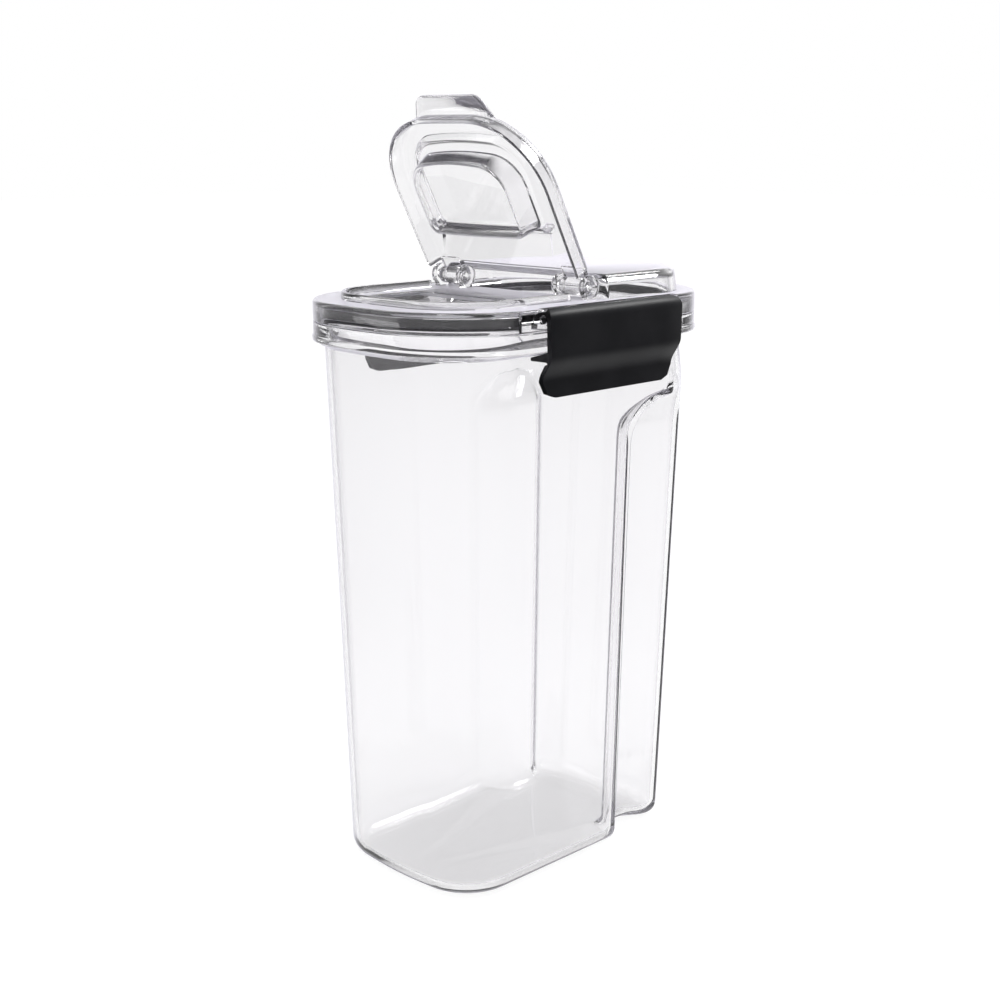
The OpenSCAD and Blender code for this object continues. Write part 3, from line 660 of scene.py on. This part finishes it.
def makeCap():
    c = capSizes
    rim = lidSizes["ledge"] + c["gap"]
    top = rim + c["height"]
    t = c["thick"]
    panelLow = top - t - c["panelDrop"]

    def around(shape, rear):
        return [level(capPlan(d, rear + d), z) for d, z in shape]

    shape = [(20.0, top), (3.4, top), (2.4, top - 0.18), (1.6, top - 0.65), (1.05, top - 1.35),
             (0.72, top - 2.2), (0.55, top - 3.2), (0.06, rim + 0.6), (0.1, rim + 0.15), (0.4, rim),
             (t - 0.35, rim), (20.0, rim)]
    cap = skin("spoutCapClear", around(shape, capRear), capPlastic)
    front = -lidSizes["length"] / 2 + c["front"]
    combine(cap, [tabSolid(front, top)])
    roof = top - t
    hollow = [(t - 0.35, rim - 0.3), (t - 0.3, rim), (t - 0.05, rim + 0.2), (t, rim + 0.6),
              (t + 0.5, roof - 1.9), (t + 0.8, roof - 1.0), (t + 1.4, roof - 0.3), (t + 2.3, roof)]
    combine(cap, [skin("hollow", around(hollow, capRear + 2.0), capPlastic)], "DIFFERENCE")
    boss = [(-0.9, top - t / 2), (-0.9, roof), (-0.55, roof - 0.4), (0.5, panelLow + 0.5),
            (0.8, panelLow + 0.15), (1.3, panelLow)]
    sunk = [(0.4, top + 1.0), (0.4, top + 0.2), (0.85, top - 0.25), (2.1, panelLow + t + 0.6),
            (2.5, panelLow + t + 0.15), (3.1, panelLow + t)]
    combine(cap, [skin("boss", [level(panelPlan(d), z) for d, z in boss], capPlastic)])
    combine(cap, [skin("sunk", [level(panelPlan(d), z) for d, z in sunk], capPlastic)], "DIFFERENCE")
    q, tip = c["plugThick"], panelLow - c["plugDeep"]

    def share(z):
        return (panelLow - z) / c["plugDeep"]

    ring = [(0.0, panelLow + 0.5), (0.0, panelLow - 0.2), (0.0, tip + 0.5), (0.14, tip + 0.14), (0.5, tip),
            (q - 0.5, tip), (q - 0.14, tip + 0.14), (q, tip + 0.5), (q, panelLow - 0.2), (q, panelLow + 0.5)]
    rows = [level(plugPlan(d, max(share(z), 0.0)), z) for d, z in ring]
    parts = [skin("plug", rows, capPlastic, closed=True)]
    for side in (1, -1):
        arm = disc("arm", (c["armX"], capAxis.y, capAxis.z), c["armRadius"], c["armWidth"], "X", capPlastic,
                   edge=0.4)
        web = block("web", (c["armX"] + 0.05, capAxis.y - 7.7, capAxis.z + 1.3),
                    (c["armX"] + c["armWidth"] - 0.05, capAxis.y, capAxis.z + 3.55), capPlastic)
        pin = disc("pin", (c["armX"] - 0.3 - c["pinReach"], capAxis.y, capAxis.z), c["pin"],
                   c["armWidth"] + 2 * (0.3 + c["pinReach"]), "X", capPlastic)
        for part in (arm, web, pin):
            parts.append(part if side == 1 else flipAway(part))
    combine(cap, parts)
    centre = capAxis * mm
    cap.data.transform(Matrix.Translation(centre) @ Matrix.Rotation(capTurn, 4, "X")
                       @ Matrix.Translation(-centre))
    smoothFaces(cap, 38)
    return cap


def tabSolid(front, top):
    # the finger tab, a tongue just under the top with sides that lean in and round corners at its tip
    c = capSizes
    r, lean = c["tabRound"], math.radians(c["tabSlant"])
    root, cy = front + 3.0, front - c["tabLength"] + c["tabRound"]
    cx = (c["tabWidth"] / 2 - (root - cy + r * math.sin(lean)) * math.tan(lean) - r * math.cos(lean))

    def outline(d):
        turns = [-math.pi / 2 + (math.pi / 2 - lean) * i / 12 for i in range(13)]
        side = [(cx + (r - d) * math.cos(t), cy + (r - d) * math.sin(t)) for t in turns]
        side += [(c["tabWidth"] / 2 - d, root), (c["tabWidth"] / 2 - d, root + 6.0)]
        return side + [(-x, y) for x, y in side[::-1]]

    z1 = top - c["tabDrop"]
    z0 = z1 - c["tabThick"]
    shape = [(0.6, z0), (0.18, z0 + 0.18), (0.0, z0 + 0.6), (0.0, z1 - 0.6), (0.18, z1 - 0.18), (0.6, z1)]
    return skin("tab", [level(outline(d), z) for d, z in shape], capPlastic)


cap = makeCap()
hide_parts("spout_cap")
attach(cap, "cap")
print("spout cap", len(cap.data.polygons), "faces")


def latchLine(d):
    # outer line of the plate, from the top of the roll down to the lower edge, d inside its outer face
    s = latchSizes
    r = s["roll"] - d
    line = [(s["axisX"] + r * math.cos(t), s["axisZ"] + r * math.sin(t))
            for t in [math.radians(90 - 6 * i) for i in range(16)]]
    z0, z1 = s["bendTop"], s["bendLow"]
    line += [(s["outX"] - d - s["step"] * smooth(i / 16), z0 + (z1 - z0) * i / 16) for i in range(17)]
    line += [(s["outX"] - d - s["step"] + 0.25, s["low"] + 1.6), (s["outX"] - d - s["step"] + 0.6, s["low"])]
    return line


def makeLatch():
    s = latchSizes
    outer, inner = latchLine(0.0), latchLine(s["thick"])
    tipX = mouthSizes["width"] / 2 + s["hookGap"]
    slope = s["hookRise"] / (lidSizes["width"] / 2 + bodySizes["lipOut"] - mouthSizes["width"] / 2)
    neck = bodySizes["neck"]
    tipZ = neck + slope * s["hookGap"] - s["hookGap"]
    rootZ = neck + slope * (s["inX"] - 0.5 - mouthSizes["width"] / 2) - s["hookGap"]
    under = rootZ - s["hookRoot"]
    hook = [(s["inX"] - 0.05, under - 0.5), (s["inX"] - 0.5, under - 0.05), (s["inX"] - 1.0, under + 0.05),
            (tipX + 0.3, tipZ - s["hookTip"]), (tipX, tipZ - s["hookTip"] + 0.3), (tipX, tipZ - 0.3),
            (tipX + 0.3, tipZ), (s["inX"] - 0.5, rootZ), (s["inX"], rootZ + 0.5)]
    back = [q for q in inner[::-1] if not under - 0.5 < q[1] < rootZ + 0.5]
    split = next(i for i, q in enumerate(back) if q[1] >= rootZ + 0.5)
    section = outer + back[:split] + hook + back[split:]
    y0, y1 = s["middle"] - s["length"] / 2, s["middle"] + s["length"] / 2

    def endAt(z):
        # how far the ends draw in at height z, for the rounded corners
        r, q = s["corner"], s["topCorner"]
        lowCut = r - math.sqrt(max(r * r - max(r - (z - s["low"]), 0.0) ** 2, 0.0))
        lift = max(z - (s["axisZ"] + s["roll"] - q), 0.0)
        topCut = q - math.sqrt(max(q * q - lift * lift, 0.0))
        return lowCut + topCut + (s["axisZ"] - min(z, s["axisZ"])) * 0.03

    loops = []
    for i in range(9):
        share = i / 8
        loops.append([(x, (y0 + endAt(z)) * (1 - share) + (y1 - endAt(z)) * share, z) for x, z in section])
    latch = skin("latch", loops, latchPlastic, sharp=45)
    parts = []
    near, far, r = s["webIn"], s["webIn"] + s["web"], s["roll"] - 0.6
    for a, b in ((y0 + near, y0 + far), (y1 - far, y1 - near)):
        web = [(s["axisX"], s["axisZ"] + r)]
        web += [(s["axisX"] + r * math.sin(t), s["axisZ"] + r * math.cos(t))
                for t in [math.pi / 2 * i / 8 for i in range(1, 9)]]
        web += [(s["outX"] - 0.6, s["axisZ"] - 3), (s["inX"], s["axisZ"] - 3), (s["axisX"], s["axisZ"] - 1.2)]
        parts.append(prism("web", web, a, b, latchPlastic))
        parts.append(disc("boss", (s["axisX"], a, s["axisZ"]), s["boss"], s["web"], "Y", latchPlastic,
                          edge=0.1, steps=32))
    for a in (y0 + s["pinIn"], y1 - s["pinIn"] - s["pinLength"]):
        parts.append(disc("pin", (s["axisX"], a, s["axisZ"]), s["pin"], s["pinLength"], "Y", latchPlastic,
                          edge=0.15, steps=24))
    combine(latch, parts)
    soften(latch, latchSizes["edge"], segments=3, angle=50, sharp=60)
    return latch


rightLatch = makeLatch()
rightLatch.name = "rightLatchBlack"
leftLatch = flip(rightLatch, "leftLatchBlack")
for piece, node, carrier in ((rightLatch, "right_latch", "latch_right"),
                             (leftLatch, "left_latch", "latch_left")):
    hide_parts(node)
    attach(piece, carrier)
print("latches", len(rightLatch.data.polygons), "faces each")


studio = dict(floorColour=(0.95, 0.95, 0.96, 1), floorSize=6000.0, floorZ=-0.0002, glow=0.78, glowSeen=1.14,
              glowBent=1.03, worldLevel=0.60, skyBent=0.15, bentLow=0.08, bentHigh=0.34, skyShine=0.14,
              floorNear=0.12, floorFar=0.45, floorDark=0.90, behind=(-0.7126, 0.7016, 0.0),
              sideFrom=0.15, sideTo=0.80)


def raySorts(kit):
    # camera rays, reflected rays and rays that passed through something clear
    path = kit.add("ShaderNodeLightPath").socket.node
    seen, gloss, through = [Wire(kit, path.outputs[sort])
                            for sort in ("Is Camera Ray", "Is Glossy Ray", "Is Transmission Ray")]
    return seen, gloss * (1.0 - through), through


def skyDirection(kit):
    # the direction in which the sky is seen
    return kit.add("ShaderNodeTexCoord", out=0)


def behindness(kit, place):
    # 1 for places and directions behind the object, as the photograph shows it, and 0 for the others
    flat = kit.add("ShaderNodeVectorMath", dict(operation="MULTIPLY"), {0: place, 1: (1, 1, 0)})
    flat = kit.add("ShaderNodeVectorMath", dict(operation="NORMALIZE"), {0: flat})
    share = kit.add("ShaderNodeVectorMath", dict(operation="DOT_PRODUCT"), {0: flat, 1: studio["behind"]},
                    out=1)
    return kit.span(share, studio["sideFrom"], studio["sideTo"])


def makeStudio():
    # a white floor and surround; in reflections the front is darker, and in bent light the ceiling is
    bm = bmesh.new()
    bmesh.ops.create_grid(bm, x_segments=2, y_segments=2, size=studio["floorSize"])
    material, kit = newMaterial("paleFloor")
    seen, gloss, through = raySorts(kit)
    place = kit.add("ShaderNodeNewGeometry")
    away = kit.add("ShaderNodeVectorMath", dict(operation="LENGTH"), {0: place}, out=1)
    far = kit.span(away, studio["floorNear"], studio["floorFar"])
    dim = gloss * far * (1.0 - behindness(kit, place)) * studio["floorDark"]
    plain = kit.add("ShaderNodeBsdfDiffuse", None, {"Color": studio["floorColour"]})
    strength = studio["glowBent"] + seen * (studio["glowSeen"] - studio["glowBent"])
    bright = kit.add("ShaderNodeEmission", None, {"Color": (1, 1, 1, 1), "Strength": strength})
    black = kit.add("ShaderNodeEmission", None, {"Color": (0, 0, 0, 1), "Strength": 0.0})
    shown = (seen + gloss + through) * studio["glow"]
    mixed = kit.add("ShaderNodeMixShader", None, {0: shown, 1: plain, 2: bright})
    mixed = kit.add("ShaderNodeMixShader", None, {0: dim, 1: mixed, 2: black})
    kit.add("ShaderNodeOutputMaterial", None, {"Surface": mixed})
    floor = meshObject("studioFloor", bm, material)
    floor.location.z = studio["floorZ"]
    world = bpy.data.worlds.new("studioWorld")
    bpy.context.scene.world = world
    world.use_nodes = True
    kit = ShaderKit(world.node_tree)
    seen, gloss, through = raySorts(kit)
    sky = skyDirection(kit)
    back = behindness(kit, sky)
    up = kit.add("ShaderNodeSeparateXYZ", None, {"Vector": sky}, out=2)
    bent = kit.span(up, studio["bentLow"], studio["bentHigh"], 1.0, studio["skyBent"])
    shine = studio["skyShine"] + back * (1.0 - studio["skyShine"])
    other = 1.0 - seen - gloss - through
    strength = seen + through * bent + gloss * shine + other * studio["worldLevel"]
    light = kit.add("ShaderNodeBackground", None, {"Color": (1, 1, 1, 1), "Strength": strength})
    kit.add("ShaderNodeOutputWorld", None, {"Surface": light})


def areaLamp(name, place, target, size, power):
    data = bpy.data.lights.new(name, "AREA")
    data.shape = "RECTANGLE"
    data.size, data.size_y = size
    data.energy = power
    lamp = bpy.data.objects.new(name, data)
    lamp.location = place
    lamp.rotation_mode = "QUATERNION"
    lamp.rotation_quaternion = (Vector(target) - Vector(place)).to_track_quat("-Z", "Y")
    bpy.context.scene.collection.objects.link(lamp)
    return lamp


makeStudio()
areaLamp("topSoftbox", (0.1, -0.1, 1.5), (0, 0, 0.1), (1.2, 1.2), 7.0)
areaLamp("leftSoftbox", (-0.9, -1.1, 0.9), (0, 0, 0.14), (0.7, 1.0), 4.0)
areaLamp("backSoftbox", (0.33, 0.95, 1.15), (0, 0, 0.22), (0.55, 0.40), 8.0)

view = bpy.context.scene.view_settings
view.view_transform = "Standard"

cameraSizes = dict(place=(0.4634, -0.46, 0.3061), azimuth=45.45, down=13.3, lens=56.63)


def makeCamera():
    data = bpy.data.cameras.new("photoCamera")
    data.sensor_width = 36.0
    data.lens = cameraSizes["lens"]
    data.clip_start, data.clip_end = 0.01, 50.0
    camera = bpy.data.objects.new("photoCamera", data)
    a, e = math.radians(cameraSizes["azimuth"]), math.radians(cameraSizes["down"])
    back = Vector((math.sin(a) * math.cos(e), -math.cos(a) * math.cos(e), math.sin(e)))
    camera.location = cameraSizes["place"]
    camera.rotation_mode = "QUATERNION"
    camera.rotation_quaternion = (-back).to_track_quat("-Z", "Y")
    bpy.context.scene.collection.objects.link(camera)
    bpy.context.scene.camera = camera


makeCamera()
print("studio and camera ready")
